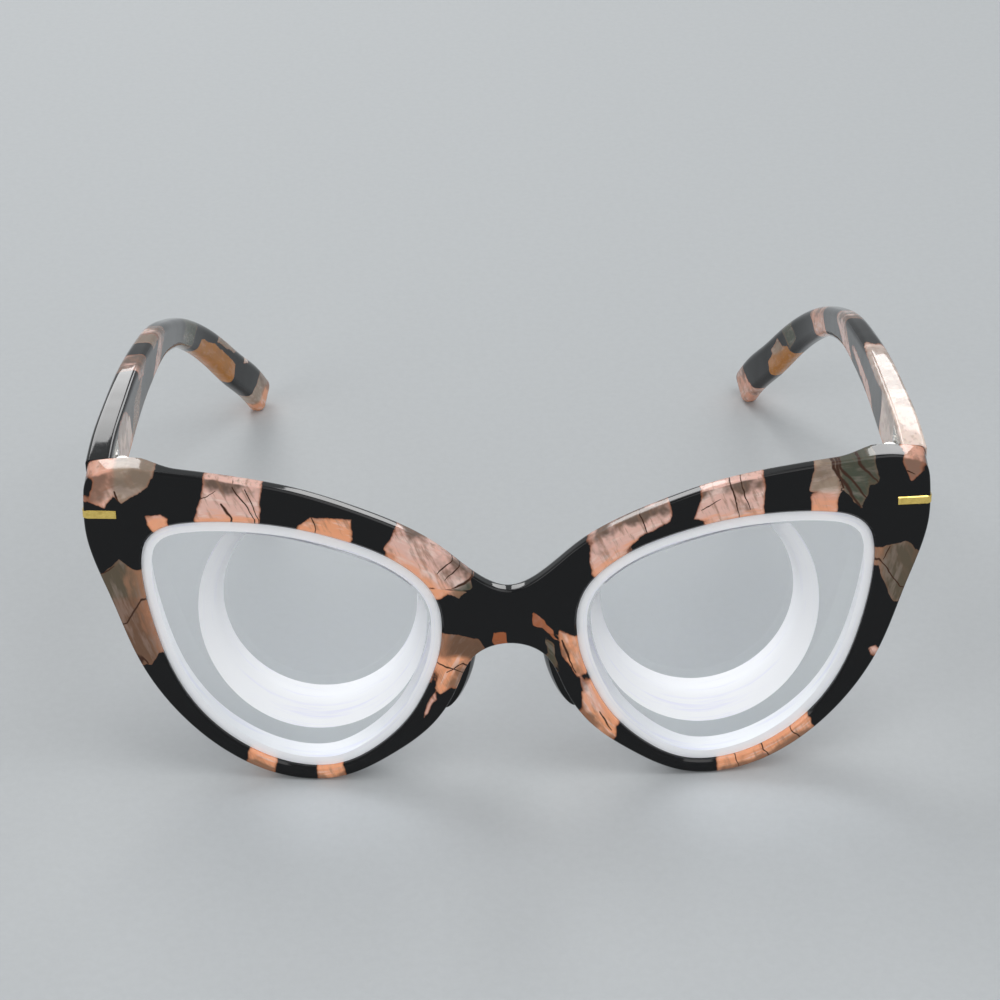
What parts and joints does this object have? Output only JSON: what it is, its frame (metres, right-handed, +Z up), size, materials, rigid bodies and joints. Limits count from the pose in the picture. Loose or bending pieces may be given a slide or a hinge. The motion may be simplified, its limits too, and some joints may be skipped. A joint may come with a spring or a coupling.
{
  "type": "myodisc glasses",
  "caption": "Thick cat-eye acetate spectacle frame with folding temples, holding very strong minus lenses with a deep oval bowl ground into each.",
  "frame": {"origin": "on the floor, under the centre of the bounding box, with the temples open", "axes": "+Z up, -Y the way the wearer looks, +X towards the wearer's left"},
  "size_m": [0.1438, 0.143, 0.0589],
  "materials": {
    "acetate": "polished black and rose tortoise acetate",
    "pad_acetate": "polished rose acetate",
    "lens_glass": "clear, with ground white edge and bowl wall",
    "gold": "polished gold plate",
    "hinge_steel": "tumbled nickel silver",
    "core_wire": "drawn wire"
  },
  "bodies": {
    "front": {"frame_front": "acetate", "lens_left": "lens_glass", "lens_right": "lens_glass", "nose_pad_left": "pad_acetate", "nose_pad_right": "pad_acetate", "corner_trim_left": "gold", "corner_trim_right": "gold", "front_hinge_left": "hinge_steel", "front_hinge_right": "hinge_steel", "hinge_screw_left": "hinge_steel", "hinge_screw_right": "hinge_steel", "front_hinge_rivets_left": "hinge_steel", "front_hinge_rivets_right": "hinge_steel"},
    "temple_left": {"temple_left": "acetate", "temple_hinge_left": "hinge_steel", "temple_hinge_rivets_left": "hinge_steel", "temple_core_left": "core_wire"},
    "temple_right": {"temple_right": "acetate", "temple_hinge_right": "hinge_steel", "temple_hinge_rivets_right": "hinge_steel", "temple_core_right": "core_wire"}
  },
  "joints": [
    {"name": "temple_fold_left", "type": "hinge", "parent": "front", "child": "temple_left", "pos_m": [0.06523, -0.0565, 0.05253], "axis": [0, 0, 1], "range_deg": [0, 85]},
    {"name": "temple_fold_right", "type": "hinge", "parent": "front", "child": "temple_right", "pos_m": [-0.06523, -0.0565, 0.05253], "axis": [0, 0, -1], "range_deg": [0, 78]}
  ]
}
